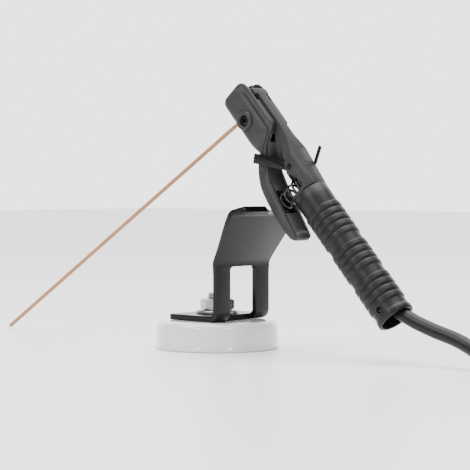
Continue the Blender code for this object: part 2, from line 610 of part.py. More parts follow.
def build_cable(frame, swivel):
    """The welding cable: a stretch from the grip to the floor, a coil, and its plug on it."""
    along = Vector((-math.cos(TILT), 0.0, math.sin(TILT)))
    back = Vector((math.sin(TILT), 0.0, math.cos(TILT)))
    route = [REAR_RIM + along * 73.4, REAR_RIM + along * 48.0,
             REAR_RIM + along * 22.0 + back, REAR_RIM + along * 6.0 + back * 3.6,
             (189.4, 0.0, 32.6), (198.0, 0.0, 29.2), (212.0, 0.0, 24.8), (224.0, 0.0, 21.6),
             (234.0, -0.4, 18.4), (245.0, -2.4, 14.2), (255.0, -5.9, 10.9),
             (264.4, -10.9, 8.6)]
    free = tube("cable", smooth_path(route, 13.0), CABLE_R, black_rubber, sides=2)
    free.parent = frame
    free.matrix_parent_inverse = frame.matrix_world.inverted()

    ring = [(COIL_IN, COIL_TOP), (COIL_OUT, COIL_TOP), (COIL_OUT, 0.0), (COIL_IN, 0.0)]
    turned("cable_coil", ring, black_rubber, swivel, steps=40, closed=True,
           place=COIL_CENTRE)

    def around(centre, radius, degrees, height):
        angle = math.radians(degrees)
        return centre + Vector((radius * math.cos(angle), radius * math.sin(angle), height))

    low = COIL_TOP + CABLE_R + 0.35
    high = COIL_TOP + PLUG_R + 0.3
    tail = [around(COIL_CENTRE, COIL_R + COIL_PITCH, turn, low)
            for turn in (275, 289, 303, 317)]
    inner = COIL_CENTRE + Vector(TAIL_TURN)
    for i in range(1, 8):
        share = i / 7.0
        tail.append(around(inner, TAIL_TURN_R, -43.0 + 133.0 * share,
                           low + (high - low) * share * share * (3.0 - 2.0 * share)))
    tail_end = tail[-1] - Vector((8.0, 0.0, 0.0))
    tail.append(tail_end)
    tube("cable_tail", smooth_path(tail, 13.0), CABLE_R, black_rubber, swivel, sides=2)

    boot = [(0.0, -1.2), (6.4, -1.2), (8.4, -12.0), (PLUG_R - 3.0, -24.0), (PLUG_R, -30.0),
            (PLUG_R, -PLUG_LENGTH + 2.0), (PLUG_R - 2.0, -PLUG_LENGTH), (8.0, -PLUG_LENGTH),
            (8.0, -PLUG_LENGTH + 14.0), (0.0, -PLUG_LENGTH + 14.0)]
    plug = turned("plug_boot", boot, black_rubber, swivel, steps=28, axis="X",
                  place=tail_end)
    contact = [(0.0, -PLUG_LENGTH + 13.6), (7.6, -PLUG_LENGTH + 13.6),
               (7.6, -PLUG_LENGTH - 2.0), (6.5, -PLUG_LENGTH - 3.0), (6.5, -PLUG_LENGTH - 20.0),
               (5.5, -PLUG_LENGTH - 22.0), (0.0, -PLUG_LENGTH - 22.0)]
    turned("plug_pin", contact, brass, swivel, steps=20, axis="X", place=tail_end)
    return plug


def build_all():
    build_foot()
    swivel = bpy.data.objects.new("bracket_axis", None)
    parts.objects.link(swivel)
    build_bracket(swivel)
    frame = bpy.data.objects.new("holder_frame", None)
    parts.objects.link(frame)
    along = Vector((-math.cos(TILT), 0.0, math.sin(TILT)))
    back = Vector((math.sin(TILT), 0.0, math.cos(TILT)))
    left = back.cross(along)
    frame.matrix_world = Matrix.Translation(REAR_RIM * MM) @ Matrix(
        (along, left, back)).transposed().to_4x4()
    build_grip(frame)
    build_body(frame)
    build_yoke(frame)
    build_lever(frame)
    build_spring(frame)
    build_electrode(frame)
    build_cable(frame, swivel)


clear_scene()
parts = new_collection("electrode_holder")
cutters = new_collection("cutters")
white = material("white coating", (0.86, 0.86, 0.85), 0.25)
ferrite = material("ferrite", (0.08, 0.08, 0.09), 0.7)
steel = material("plain steel", (0.5, 0.5, 0.5), 0.4, 1.0)
zinc = material("bright zinc", (0.75, 0.76, 0.77), 0.28, 1.0)
black_gloss = material("black powder coat", (0.02, 0.02, 0.022), 0.3)
dark_grip = material("dark rubber", (0.05, 0.05, 0.052), 0.6)
mid_grey = material("grey moulding", (0.12, 0.12, 0.122), 0.5)
brass = material("brass", (0.7, 0.5, 0.22), 0.35, 1.0)
black_steel = material("blackened steel", (0.015, 0.015, 0.016), 0.4)
copper = material("copper brown coating", (0.55, 0.33, 0.22), 0.5)
black_rubber = material("black rubber", (0.03, 0.03, 0.031), 0.6)
build_all()
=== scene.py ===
# Electrode holder resting on its magnetic bench stand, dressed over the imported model
import json
import math

import bmesh
import bpy
from mathutils import Matrix, Vector

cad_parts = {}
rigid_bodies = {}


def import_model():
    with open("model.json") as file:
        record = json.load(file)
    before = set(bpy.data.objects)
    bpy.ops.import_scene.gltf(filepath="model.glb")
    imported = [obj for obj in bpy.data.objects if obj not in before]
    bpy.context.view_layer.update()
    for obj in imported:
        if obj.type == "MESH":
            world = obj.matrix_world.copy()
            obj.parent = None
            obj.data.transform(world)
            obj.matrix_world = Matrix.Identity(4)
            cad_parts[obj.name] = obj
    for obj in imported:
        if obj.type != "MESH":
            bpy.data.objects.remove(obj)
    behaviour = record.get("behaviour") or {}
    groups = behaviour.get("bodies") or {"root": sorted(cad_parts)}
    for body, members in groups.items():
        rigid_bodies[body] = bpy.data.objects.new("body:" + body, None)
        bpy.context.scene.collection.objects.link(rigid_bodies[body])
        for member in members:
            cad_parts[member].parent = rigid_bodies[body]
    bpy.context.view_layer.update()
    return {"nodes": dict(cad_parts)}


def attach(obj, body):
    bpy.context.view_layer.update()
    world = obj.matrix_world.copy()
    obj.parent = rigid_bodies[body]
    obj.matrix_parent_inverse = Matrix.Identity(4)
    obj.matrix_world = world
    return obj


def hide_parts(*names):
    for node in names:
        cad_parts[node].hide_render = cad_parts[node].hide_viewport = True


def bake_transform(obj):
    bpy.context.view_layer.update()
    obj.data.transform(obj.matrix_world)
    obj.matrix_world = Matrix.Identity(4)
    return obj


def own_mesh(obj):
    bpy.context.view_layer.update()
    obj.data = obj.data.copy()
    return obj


for old in list(bpy.data.objects):
    bpy.data.objects.remove(old, do_unlink=True)

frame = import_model()
mm = 0.001

# the holder's own axes: x from the rear rim to the jaws, y to the left side, z to the back
holder = {"rearRim": (177.0, 0.0, 32.1), "tilt": 48.3}
tilt = math.radians(holder["tilt"])
towardsJaws = Vector((-math.cos(tilt), 0, math.sin(tilt)))
towardsBack = Vector((math.sin(tilt), 0, math.cos(tilt)))
towardsLeft = towardsBack.cross(towardsJaws)
holderPlace = Matrix.Translation(Vector(holder["rearRim"]) * mm) @ Matrix(
    (towardsJaws, towardsLeft, towardsBack)).transposed().to_4x4() @ Matrix.Scale(mm, 4)
standPlace = Matrix.Scale(mm, 4)


# ---------- camera, floor and light ----------
camera = {"back": (0.8797, -0.9567, 0.1281), "target": (0, 0, 0.1), "lens": 124.7,
          "shift": (0.0377, -0.0281)}
cameraData = bpy.data.cameras.new("camera")
cameraData.lens = camera["lens"]
cameraData.sensor_width = 36
cameraData.shift_x, cameraData.shift_y = camera["shift"]
cameraObject = bpy.data.objects.new("camera", cameraData)
bpy.context.scene.collection.objects.link(cameraObject)
cameraObject.location = camera["back"]
looking = Vector(camera["target"]) - Vector(camera["back"])
cameraObject.rotation_euler = looking.to_track_quat("-Z", "Y").to_euler()
bpy.context.scene.camera = cameraObject


def hexColour(code, alpha=1.0):
    # sRGB hex to the linear values that shaders take
    parts = [int(code[i:i + 2], 16) / 255 for i in (1, 3, 5)]
    return tuple(p / 12.92 if p <= 0.04045 else ((p + 0.055) / 1.055) ** 2.4
                 for p in parts) + (alpha,)


def addNode(tree, kind, settings=None, links=None):
    # one node, its settings by input name or attribute, and what feeds its inputs
    made = tree.nodes.new(kind)
    for key, value in (settings or {}).items():
        if isinstance(key, int) or key in made.inputs:
            made.inputs[key].default_value = value
        else:
            setattr(made, key, value)
    for key, source in (links or {}).items():
        tree.links.new(source, made.inputs[key])
    return made


def startMaterial(name, shaderValues):
    mat = bpy.data.materials.new(name)
    mat.use_nodes = True
    tree = mat.node_tree
    shader = tree.nodes["Principled BSDF"]
    for key, value in shaderValues.items():
        shader.inputs[key].default_value = value
    place = addNode(tree, "ShaderNodeTexCoord").outputs["Object"]
    return mat, tree, shader, place


def ramp(tree, source, low, high, first, second):
    # a colour ramp between two stops
    made = addNode(tree, "ShaderNodeValToRGB", links={"Fac": source})
    made.color_ramp.elements[0].position = low
    made.color_ramp.elements[1].position = high
    made.color_ramp.elements[0].color = first
    made.color_ramp.elements[1].color = second
    return made.outputs["Color"]


def spread(tree, source, low, high):
    # turns a 0 to 1 pattern into a roughness range
    return addNode(tree, "ShaderNodeMapRange", {"To Min": low, "To Max": high},
                   {"Value": source}).outputs["Result"]


def raised(tree, shader, height, strength, depth):
    bump = addNode(tree, "ShaderNodeBump", {"Strength": strength, "Distance": depth},
                   {"Height": height})
    tree.links.new(bump.outputs["Normal"], shader.inputs["Normal"])


def noise(tree, place, size, detail=2.0, roughness=0.5):
    # blotches about this many metres across
    return addNode(tree, "ShaderNodeTexNoise",
                   {"Scale": 1.0 / size, "Detail": detail, "Roughness": roughness},
                   {"Vector": place}).outputs["Fac"]


# gloss white enamel on a pressed steel pot: a clear reflection with a faint orange peel
def makeEnamel():
    mat, tree, shader, place = startMaterial("white enamel", {
        "Roughness": 0.16, "IOR": 1.5, "Coat Weight": 0.7, "Coat Roughness": 0.04})
    peel = noise(tree, place, 0.0022, 1.0)
    cloud = noise(tree, place, 0.03, 3.0)
    tree.links.new(ramp(tree, cloud, 0.3, 0.7, hexColour("#d6d6d5"), hexColour("#dededd")),
                   shader.inputs["Base Color"])
    tree.links.new(spread(tree, peel, 0.13, 0.2), shader.inputs["Roughness"])
    raised(tree, shader, peel, 0.08, 0.0002)
    return mat


# semi-gloss black powder coat on sheet steel: baked grains about 0.7 mm across
def makePowderCoat(name, dark, light, low, high, strength):
    mat, tree, shader, place = startMaterial(name, {
        "IOR": 1.42, "Specular IOR Level": 0.26, "Coat Weight": 0.08, "Coat Roughness": 0.15})
    grain = noise(tree, place, 0.0007, 2.0, 0.6)
    cloud = noise(tree, place, 0.012, 3.0)
    tree.links.new(ramp(tree, cloud, 0.3, 0.72, hexColour(dark), hexColour(light)),
                   shader.inputs["Base Color"])
    tree.links.new(spread(tree, cloud, low, high), shader.inputs["Roughness"])
    raised(tree, shader, grain, strength, 0.00012)
    return mat


# glass-filled nylon, moulded in a spark-eroded tool: satin, with a fine even grain
def makeNylon(name, dark, light, low, high, grainSize=0.0006, strength=0.16):
    mat, tree, shader, place = startMaterial(name, {"IOR": 1.5, "Specular IOR Level": 0.25})
    grain = noise(tree, place, grainSize, 3.0, 0.65)
    cloud = noise(tree, place, 0.018, 4.0, 0.55)
    tree.links.new(ramp(tree, cloud, 0.28, 0.74, hexColour(dark), hexColour(light)),
                   shader.inputs["Base Color"])
    tree.links.new(spread(tree, cloud, low, high), shader.inputs["Roughness"])
    raised(tree, shader, grain, strength, 0.00015)
    return mat


# metal with a faint grain from plating, casting or drawing
def makeMetal(name, dark, light, low, high, grainSize, strength=0.1, metallic=1.0):
    mat, tree, shader, place = startMaterial(name, {"Metallic": metallic})
    grain = noise(tree, place, grainSize, 3.0)
    cloud = noise(tree, place, 0.004, 4.0, 0.6)
    tree.links.new(ramp(tree, cloud, 0.3, 0.7, hexColour(dark), hexColour(light)),
                   shader.inputs["Base Color"])
    tree.links.new(spread(tree, grain, low, high), shader.inputs["Roughness"])
    raised(tree, shader, grain, strength, 0.0001)
    return mat


# extruded flux coating: a dry, copper-brown skin with fine mineral specks
def makeFlux():
    mat, tree, shader, place = startMaterial("extruded flux coating", {"IOR": 1.45})
    speck = noise(tree, place, 0.0008, 4.0, 0.7)
    tree.links.new(ramp(tree, speck, 0.34, 0.66, hexColour("#94613d"), hexColour("#bb8861")),
                   shader.inputs["Base Color"])
    tree.links.new(spread(tree, speck, 0.5, 0.75), shader.inputs["Roughness"])
    raised(tree, shader, speck, 0.25, 0.0001)
    return mat


enamel = makeEnamel()
powderCoat = makePowderCoat("black powder coat", "#08080a", "#0e0e10", 0.24, 0.33, 0.08)
blackedSteel = makePowderCoat("blacked spring steel", "#070708", "#0d0d0e", 0.16, 0.28, 0.08)
gripNylon = makeNylon("ribbed grip nylon", "#131314", "#1b1b1c", 0.36, 0.46)
bodyNylon = makeNylon("glass-filled body nylon", "#262627", "#303031", 0.38, 0.5)
leverNylon = makeNylon("glass-filled lever nylon", "#2a2a2b", "#353536", 0.34, 0.46)
cableRubber = makeNylon("chloroprene cable rubber", "#0e0e0f", "#151516", 0.34, 0.44, 0.0009, 0.2)
bootRubber = makeNylon("moulded boot rubber", "#1a1a1b", "#242425", 0.5, 0.62, 0.0009, 0.2)
zincPlate = makeMetal("bright zinc plate", "#85888c", "#adb0b4", 0.2, 0.34, 0.0009)
springWire = makeMetal("oiled spring wire", "#3a3a3c", "#565659", 0.22, 0.36, 0.0008)
castBrass = makeMetal("machined brass", "#a67f38", "#c9a256", 0.26, 0.42, 0.0009)
turnedSteel = makeMetal("turned mild steel", "#85878a", "#a5a7aa", 0.3, 0.45, 0.0008)
sinteredFerrite = makeMetal("sintered ferrite", "#1f1f21", "#2c2c2f", 0.55, 0.75, 0.0011,
                            0.25, 0.0)
fluxCoating = makeFlux()
print("materials ready")


# ---------- shared modelling steps ----------
def flatShape(corners, setbacks, segments=8, side="XZ"):
    # a flat face through the corners, each rounded with its own setback, in millimetres
    bm = bmesh.new()
    spot = {"XZ": lambda a, b: (a, 0, b), "XY": lambda a, b: (a, b, 0)}[side]
    verts = [bm.verts.new(spot(a, b)) for a, b in corners]
    bm.faces.new(verts)
    for vert, setback in zip(verts, setbacks):
        if setback:
            bmesh.ops.bevel(bm, geom=[vert], offset=setback, offset_type="OFFSET",
                            segments=segments, affect="VERTICES", profile=0.5, material=-1)
    return bm


def thicken(bm, low, high, way=(0, 1, 0)):
    # pulls the flat face out into a solid, from low to high along one axis
    way = Vector(way)
    bmesh.ops.translate(bm, vec=way * low, verts=bm.verts)
    pulled = bmesh.ops.extrude_face_region(bm, geom=list(bm.faces), use_keep_orig=True)
    tops = [part for part in pulled["geom"] if isinstance(part, bmesh.types.BMVert)]
    bmesh.ops.translate(bm, vec=way * (high - low), verts=tops)
    bmesh.ops.recalc_face_normals(bm, faces=bm.faces)
    return bm


def spinProfile(profile, steps, axis=(0, 0, 1), centre=(0, 0, 0)):
    # turns an open or closed line of (radius, height) points round an axis
    bm = bmesh.new()
    axis = Vector(axis)
    out = Vector((1, 0, 0)) if abs(axis.z) > 0.5 else Vector((0, 0, 1))
    verts = [bm.verts.new(out * r + axis * h + Vector(centre)) for r, h in profile]
    edges = [bm.edges.new(pair) for pair in zip(verts, verts[1:])]
    bmesh.ops.spin(bm, geom=verts + edges, cent=centre, axis=axis, angle=2 * math.pi,
                   steps=steps, use_merge=True)
    bmesh.ops.remove_doubles(bm, verts=bm.verts, dist=0.0005)
    bmesh.ops.recalc_face_normals(bm, faces=bm.faces)
    return bm


def fillet(profile, radii, segments=4):
    # rounds the corners of a (radius, height) line
    rounded = [profile[0]]
    for before, here, after, radius in zip(profile, profile[1:], profile[2:], radii[1:]):
        if not radius:
            rounded.append(here)
            continue
        here = Vector(here)
        first = here + (Vector(before) - here).normalized() * radius
        last = here + (Vector(after) - here).normalized() * radius
        for i in range(segments + 1):
            t = i / segments
            rounded.append(tuple(first * (1 - t) ** 2 + here * 2 * t * (1 - t) + last * t * t))
    rounded.append(profile[-1])
    return rounded


def makeObject(name, bm, place, mat, sharp=40):
    # gives the mesh its place in metres and leaves the object at the origin
    bm.transform(place)
    if place.determinant() < 0:
        bmesh.ops.reverse_faces(bm, faces=bm.faces)
    mesh = bpy.data.meshes.new(name)
    bm.to_mesh(mesh)
    bm.free()
    mesh.shade_smooth()
    if sharp:
        mesh.set_sharp_from_angle(angle=math.radians(sharp))
    made = bpy.data.objects.new(name, mesh)
    bpy.context.scene.collection.objects.link(made)
    made.data.materials.append(mat)
    return made


def applyModifiers(obj, sharp=40):
    bpy.context.view_layer.update()
    graph = bpy.context.evaluated_depsgraph_get()
    mesh = bpy.data.meshes.new_from_object(obj.evaluated_get(graph))
    mats = list(obj.data.materials)
    obj.modifiers.clear()
    obj.data = mesh
    mesh.materials.clear()
    for mat in mats:
        mesh.materials.append(mat)
    mesh.shade_smooth()
    if sharp:
        mesh.set_sharp_from_angle(angle=math.radians(sharp))
    return obj


def cutAway(obj, cutterBm, place, operation="DIFFERENCE"):
    # cuts one shape out of another, or joins it on, and removes the tool
    tool = makeObject("tool", cutterBm, place, obj.data.materials[0], 0)
    change = obj.modifiers.new("cut", "BOOLEAN")
    change.operation = operation
    change.solver = "EXACT"
    change.object = tool
    applyModifiers(obj)
    bpy.data.objects.remove(tool, do_unlink=True)


def mergeSlivers(obj):
    # clears the slivers that joining shapes leaves, so that rounded edges meet whole faces
    bm = bmesh.new()
    bm.from_mesh(obj.data)
    bmesh.ops.remove_doubles(bm, verts=bm.verts, dist=0.00004)
    bmesh.ops.dissolve_limit(bm, angle_limit=math.radians(0.5), verts=bm.verts, edges=bm.edges)
    bm.to_mesh(obj.data)
    bm.free()


def bar(start, end, radius, sides=48):
    start, end = Vector(start), Vector(end)
    bm = bmesh.new()
    bmesh.ops.create_cone(bm, cap_ends=True, segments=sides, radius1=radius, radius2=radius,
                          depth=(end - start).length)
    turn = Vector((0, 0, 1)).rotation_difference(end - start).to_matrix().to_4x4()
    bm.transform(Matrix.Translation((start + end) / 2) @ turn)
    return bm


def block(low, high):
    low, high = Vector(low), Vector(high)
    bm = bmesh.new()
    bmesh.ops.create_cube(bm, size=1)
    bmesh.ops.scale(bm, vec=high - low, verts=bm.verts)
    bmesh.ops.translate(bm, vec=(low + high) / 2, verts=bm.verts)
    return bm


def finishPiece(obj, body, slot, *nodes):
    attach(obj, body)
    if nodes:
        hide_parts(*nodes)
    return obj


# ---------- stand: pot magnet foot ----------
foot = {"radius": 49.3, "height": 22.4, "wall": 3.2, "roof": 3.4, "shoulder": 6.2,
        "hole": 8.4, "steps": 128}
inner = foot["radius"] - foot["wall"]
roofUnder = foot["height"] - foot["roof"]
footLine = fillet([
    (foot["hole"], roofUnder), (foot["hole"], foot["height"]),
    (foot["radius"] - 0.7, foot["height"]), (foot["radius"] - 0.55, 4.0),
    (foot["radius"], 2.6), (foot["radius"], 0.0), (inner, 0.0), (inner, roofUnder),
    (foot["hole"], roofUnder)], [0, 0.3, foot["shoulder"], 1.0, 0.8, 1.0, 0.5, 1.0, 0], 8)
footPiece = makeObject("foot_shell", spinProfile(footLine, foot["steps"]), standPlace, enamel,
                       50)
finishPiece(footPiece, "foot", "white_coating", "foot_cover")

# ---------- stand: stud, nut and washer ----------
fixing = {"studRadius": 8.0, "pitch": 2.0, "studLow": 9.3, "studHigh": 43.4, "nutLow": 30.1,
          "nutHigh": 38.9, "nutAcross": 24.0, "washerLow": 27.3, "washerHigh": 29.8,
          "washerRadius": 17.0}


def threadLine(radius, pitch, low, high, start):
    # a stud's side view: smooth shank, then rounded thread crests to a chamfered end
    points = [(0.0, high), (radius - 1.3, high), (radius - 0.1, high - 1.2)]
    z = high - 1.2
    while z - pitch > start:
        points += [(radius - 0.95, z - pitch * 0.32), (radius - 0.95, z - pitch * 0.42),
                   (radius, z - pitch * 0.85), (radius, z - pitch)]
        z -= pitch
    return points + [(radius, start - 0.6), (radius, low), (0.0, low)]


studPiece = makeObject("threaded_stud", spinProfile(
    threadLine(fixing["studRadius"], fixing["pitch"], fixing["studLow"], fixing["studHigh"],
               26.0), 64), standPlace, zincPlate, 30)
finishPiece(studPiece, "foot", "zinc_steel", "stud")

nutMiddle = (fixing["nutLow"] + fixing["nutHigh"]) / 2
nutBm = bmesh.new()
bmesh.ops.create_cone(nutBm, cap_ends=True, segments=6,
                      radius1=fixing["nutAcross"] / math.sqrt(3),
                      radius2=fixing["nutAcross"] / math.sqrt(3),
                      depth=fixing["nutHigh"] - fixing["nutLow"])
bmesh.ops.translate(nutBm, vec=(0, 0, nutMiddle), verts=nutBm.verts)
nutPiece = makeObject("hex_nut", nutBm, standPlace, zincPlate)
chamfer = spinProfile([(0, fixing["nutHigh"] + 0.05), (11.6, fixing["nutHigh"] + 0.05),
                       (14.4, fixing["nutHigh"] - 1.5), (14.4, fixing["nutLow"] + 1.5),
                       (11.6, fixing["nutLow"] - 0.05), (0, fixing["nutLow"] - 0.05)], 96)
cutAway(nutPiece, chamfer, standPlace, "INTERSECT")
nutBore = spinProfile([(0, 60), (9.4, 60), (9.4, fixing["nutHigh"]),
                       (8.35, fixing["nutHigh"] - 1.0), (8.35, fixing["nutLow"] + 1.0),
                       (9.4, fixing["nutLow"]), (9.4, 10), (0, 10)], 64)
cutAway(nutPiece, nutBore, standPlace)
finishPiece(nutPiece, "foot", "zinc_steel", "nut")

washerLine = fillet([(8.7, 29.0), (8.7, fixing["washerHigh"]),
                     (fixing["washerRadius"], fixing["washerHigh"]),
                     (fixing["washerRadius"], fixing["washerLow"]),
                     (8.7, fixing["washerLow"]), (8.7, 29.0)], [0, 0.3, 0.7, 0.3, 0.3, 0], 3)
washerPiece = makeObject("plain_washer", spinProfile(washerLine, 96), standPlace, zincPlate,
                         35)
finishPiece(washerPiece, "foot", "zinc_steel", "washer")
print("foot and fixings done")

# ---------- stand: bracket, cut flat and bent like the sheet it is ----------
bracket = {"sheet": 4.3, "under": 22.7, "backEdge": -24.6, "legFront": 28.0, "half": 30.6,
           "windowHalf": 15.3, "footBend": 8.0, "bendHeight": 68.5, "kneeBend": 7.0,
           "lean": 31.0, "panelTop": 106.0, "panelHalf": 38.2, "lipBend": 3.4, "lip": 12.4,
           "lipAngle": 76.0, "notchRadius": 15.5, "notchCentre": 122.5}


def bentPath():
    # the front face of the sheet as straight runs and bends: (length, bend radius, turn)
    lean, lip = math.radians(bracket["lean"]), math.radians(bracket["lipAngle"])
    kneeSet = bracket["kneeBend"] * math.tan(lean / 2)
    lipSet = bracket["lipBend"] * math.tan((lip - lean) / 2)
    rise = (bracket["panelTop"] - bracket["bendHeight"]) / math.cos(lean)
    return [
        (bracket["legFront"] - bracket["footBend"] - bracket["backEdge"], 0, 0),
        (bracket["footBend"] * math.pi / 2, bracket["footBend"], math.pi / 2),
        (bracket["bendHeight"] - kneeSet - bracket["under"] - bracket["footBend"], 0, 0),
        (bracket["kneeBend"] * lean, bracket["kneeBend"], -lean),
        (rise - kneeSet - lipSet, 0, 0),
        (bracket["lipBend"] * (lip - lean), bracket["lipBend"], lean - lip),
        (bracket["lip"] - lipSet, 0, 0)]


def bend(distance):
    # where a point of the flat sheet goes once it is bent
    spot, heading = Vector((bracket["backEdge"], bracket["under"])), 0.0
    for length, radius, turn in bentPath():
        part = max(0.0, min(distance, length))
        if radius:
            side = math.copysign(1.0, turn)
            centre = spot + Vector((-math.sin(heading), math.cos(heading))) * radius * side
            swept = turn * part / length
            spoke = spot - centre
            spoke.rotate(Matrix.Rotation(swept, 2))
            spot, heading = centre + spoke, heading + swept
        else:
            spot = spot + Vector((math.cos(heading), math.sin(heading))) * part
        distance -= part
        if distance <= 0:
            break
    return spot


runs = bentPath()
ends = [sum(run[0] for run in runs[:i + 1]) for i in range(len(runs))]
windowLow, windowHigh = ends[0] + 1.6, ends[2] - 1.0
flare = ends[3] - 1.0
blank = flatShape([
    (0, 0), (0, bracket["half"]), (flare, bracket["half"]),
    (ends[4] - 5.0, bracket["panelHalf"]), (ends[6], bracket["panelHalf"]), (ends[6], 0),
    (windowHigh, 0), (windowHigh, bracket["windowHalf"]), (windowLow, bracket["windowHalf"]),
    (windowLow, 0)], [0, 3, 12, 5, 4, 0, 0, 3.5, 1.2, 0], 8, "XY")
marks = []
for i, (length, radius, turn) in enumerate(runs):
    if radius:
        marks += [ends[i] - length + length * k / 8 for k in range(9)]
for mark in marks:
    bmesh.ops.bisect_plane(blank, geom=list(blank.verts) + list(blank.edges)
                           + list(blank.faces), plane_co=(mark, 0, 0), plane_no=(1, 0, 0))
bmesh.ops.mirror(blank, geom=list(blank.verts) + list(blank.edges) + list(blank.faces),
                 axis="Y", merge_dist=0.01)
bmesh.ops.remove_doubles(blank, verts=blank.verts, dist=0.01)
for vert in blank.verts:
    x, z = bend(vert.co.x)
    vert.co = (x, vert.co.y, z)
bmesh.ops.recalc_face_normals(blank, faces=blank.faces)
bracketPiece = makeObject("bent_bracket", blank, standPlace, powderCoat)
sheetWall = bracketPiece.modifiers.new("sheet", "SOLIDIFY")
sheetWall.thickness = bracket["sheet"] * mm
baseFace = min(bracketPiece.data.polygons, key=lambda face: face.center.z)
sheetWall.offset = 1.0 if baseFace.normal.z > 0 else -1.0
applyModifiers(bracketPiece, 30)
cutAway(bracketPiece, bar((20, 0, bracket["notchCentre"]), (90, 0, bracket["notchCentre"]),
                          bracket["notchRadius"], 96), standPlace)
cutAway(bracketPiece, bar((0, 0, 10), (0, 0, 50), 8.4, 64), standPlace)
edgeRound = bracketPiece.modifiers.new("edges", "BEVEL")
edgeRound.width = 0.55 * mm
edgeRound.segments = 3
edgeRound.limit_method = "ANGLE"
edgeRound.angle_limit = math.radians(40)
applyModifiers(bracketPiece, 40)
finishPiece(bracketPiece, "bracket", "black_powder_coat", "bracket")
print("bracket done")

# ---------- holder: ribbed grip ----------
grip = {"length": 121.5, "radius": 13.6, "bore": 9.6, "mouth": 12.0, "rib": 14.6,
        "pitch": 6.2, "firstRib": 14.0, "steps": 96,
        "ribs": (0, 1, 2, 3, 5, 6, 7, 8, 10, 11, 12, 13, 14)}
gripLine = [(grip["mouth"], 0.5), (12.5, 0.0), (13.4, 0.05), (14.1, 0.5), (14.4, 1.3),
            (14.4, 4.0), (14.1, 4.9), (grip["radius"] + 0.1, 5.4), (grip["radius"], 6.2)]
for step in grip["ribs"]:
    middle = grip["firstRib"] + grip["pitch"] * step
    swell = grip["rib"] - grip["radius"]
    for k in range(-8, 9):  # each rib is a broad rounded swell with narrow valleys between
        share = max(0.0, 1.0 - abs(k / 8.0) ** 5)
        gripLine.append((grip["radius"] + swell * share, middle + k / 8.0 * 2.85))
gripLine += [(grip["radius"] + 0.1, 105.0), (grip["radius"] + 0.35, 112.0),
             (grip["radius"] + 0.4, grip["length"] - 0.8),
             (grip["radius"] - 0.2, grip["length"]),
             (grip["bore"] + 0.3, grip["length"]), (grip["bore"], grip["length"] - 0.4),
             (grip["bore"], 26.0), (grip["mouth"], 11.0), (grip["mouth"], 0.5)]
gripPiece = makeObject("ribbed_grip", spinProfile(gripLine, grip["steps"], (1, 0, 0)),
                       holderPlace, gripNylon, 45)
cutAway(gripPiece, bar((9, 11, 0), (9, 18, 0), 2.4, 32), holderPlace)
finishPiece(gripPiece, "holder", "grip_moulding", "grip_sleeve")

screwLine = fillet([(0, 12.7), (1.0, 12.7), (2.15, 12.4), (2.15, 10.1), (0, 10.1)],
                   [0, 0, 0.3, 0.2, 0], 3)
gripScrew = makeObject("grip_screw_head", spinProfile(screwLine, 32, (0, 1, 0)),
                       holderPlace @ Matrix.Translation((9, 0, 0)), blackedSteel, 30)
finishPiece(gripScrew, "holder", "black_steel", "grip_screw")
print("grip done")

# ---------- lever: one moulding, lofted through its cross-sections ----------
def keyed(table, s):
    # a value that changes evenly between its keys
    if s <= table[0][0]:
        return table[0][1]
    for (s0, v0), (s1, v1) in zip(table, table[1:]):
        if s <= s1:
            return v0 + (v1 - v0) * (s - s0) / (s1 - s0)
    return table[-1][1]


def eased(table, s, reach):
    # the same, averaged over a short reach so that its corners turn into curves
    return sum(keyed(table, s + reach * k / 4) for k in range(-4, 5)) / 9


def loft(sections):
    # joins rings of equal point counts, and closes both ends
    bm = bmesh.new()
    rings = [[bm.verts.new(point) for point in ring] for ring in sections]
    for first, second in zip(rings, rings[1:]):
        for i in range(len(first)):
            j = (i + 1) % len(first)
            bm.faces.new((first[i], first[j], second[j], second[i]))
    bm.faces.new(list(reversed(rings[0])))
    bm.faces.new(rings[-1])
    bmesh.ops.recalc_face_normals(bm, faces=bm.faces)
    return bm


lever = {
    "front": [(100.5, -29.6), (100.8, -31.0), (101.8, -32.2), (104, -33.1), (108, -33.6),
              (120, -33.5), (134, -32.6), (148, -30.7), (158, -28.2), (163, -24.9),
              (167.2, -20.8), (171.8, -15.9), (173.4, -12.2), (180, -15), (224, -15),
              (226.4, -14.4), (228, -12.9), (228.8, -11.2), (229, -9.6)],
    "back": [(100.5, -28.8), (100.8, -27.6), (101.8, -26.8), (104, -26.3), (112, -25),
             (130, -21.9), (150, -17.8), (158, -14.7), (166, -10.5), (170, -7), (174, -3),
             (176, 0.2), (178, 5.6), (181, 13.6), (219, 13.6), (224, 12.8), (227, 10.8), (228.5, 8.2),
             (229, 5.5)],
    "half": [(100.5, 6.8), (101.2, 8.4), (103, 9.7), (112, 10.4), (140, 10.8), (152, 10.5),
             (159, 9.1), (178.5, 9.1), (185, 10.8), (227.2, 10.8), (228.6, 10.2), (229, 9.5)],
    "valley": [(100.5, 0.1), (108, 0.3), (152, 0.4), (162, 0.9), (176, 1.2), (186, 2.5),
               (219, 2.4), (226, 0.9), (229, 0.2)],
    "flange": [(100.5, 0.4), (104, 1.4), (112, 1.7), (152, 1.9), (166, 2.6), (176, 4.0), (184, 4.7),
               (229, 4.7)],
    "depth": [(105.0, 0.04), (107.5, 1.5), (123.4, 1.5), (124.0, 7.9), (142.4, 7.9),
              (143.0, 1.5), (156, 1.3), (160, 0.04)],
    "trough": [(177.2, -1), (177.9, -9.8), (229, -9.8)],
    "square": [(100.5, 0.7), (112, 0.56), (155, 0.52), (170, 0.5), (184, 0.42), (229, 0.42)],
    "hollow": [(166.5, 7.4), (168, 5.2)],
    "fulcrum": 172.4, "boss": (201.6, -5.2)}


